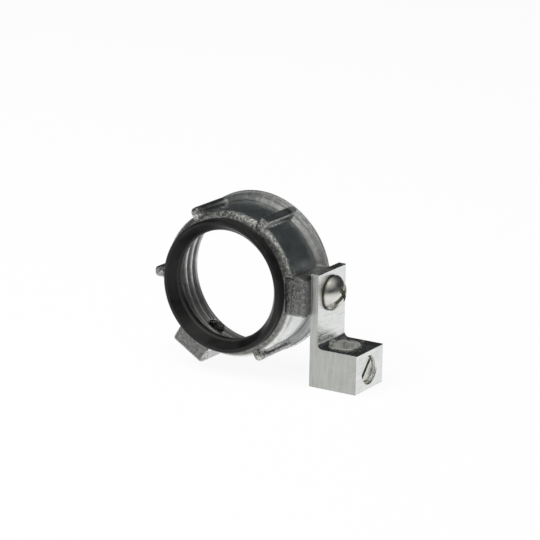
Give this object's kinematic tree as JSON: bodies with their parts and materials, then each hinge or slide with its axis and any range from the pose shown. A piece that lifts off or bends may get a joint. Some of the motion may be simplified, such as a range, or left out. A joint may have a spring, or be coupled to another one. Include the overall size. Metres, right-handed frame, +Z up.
{
  "type": "insulated grounding bushing",
  "caption": "Ribbed cast conduit bushing with an insulated throat, a side lug that clamps a grounding wire, and a locking screw.",
  "frame": {"origin": "on the bore axis, in the plane of the inner shoulder where the end of the conduit stops", "axes": "+Y runs along the bore out of the threaded back, -Y is the insulated front, +X points to the grounding lug, +Z is up"},
  "size_m": [0.0534, 0.0171, 0.0402],
  "materials": {
    "cast_zinc": "bare die casting, satin with rough edges",
    "black_liner": "moulded, slight sheen",
    "lug_aluminium": "tinned, sawn faces brushed",
    "screw_steel": "bright zinc plated"
  },
  "bodies": {
    "bushing": {"bushing_body": "cast_zinc", "insulating_liner": "black_liner", "lug_screw": "screw_steel"},
    "lug": {"grounding_lug": "lug_aluminium"},
    "wire_clamp": {"wire_clamp_screw": "screw_steel"},
    "lock": {"locking_screw": "screw_steel"}
  },
  "joints": [
    {"name": "lug_swivel", "type": "hinge", "parent": "bushing", "child": "lug", "pos_m": [0.02215, 0.005, 0], "axis": [1, 0, 0], "continuous": true},
    {"name": "wire_clamp_feed", "type": "slide", "parent": "lug", "child": "wire_clamp", "axis": [-1, 0, 0], "range_m": [-0.0021, 0.0036]},
    {"name": "lock_feed", "type": "slide", "parent": "bushing", "child": "lock", "axis": [0.5225, 0, 0.8526], "range_m": [-0.001, 0.0019]}
  ]
}
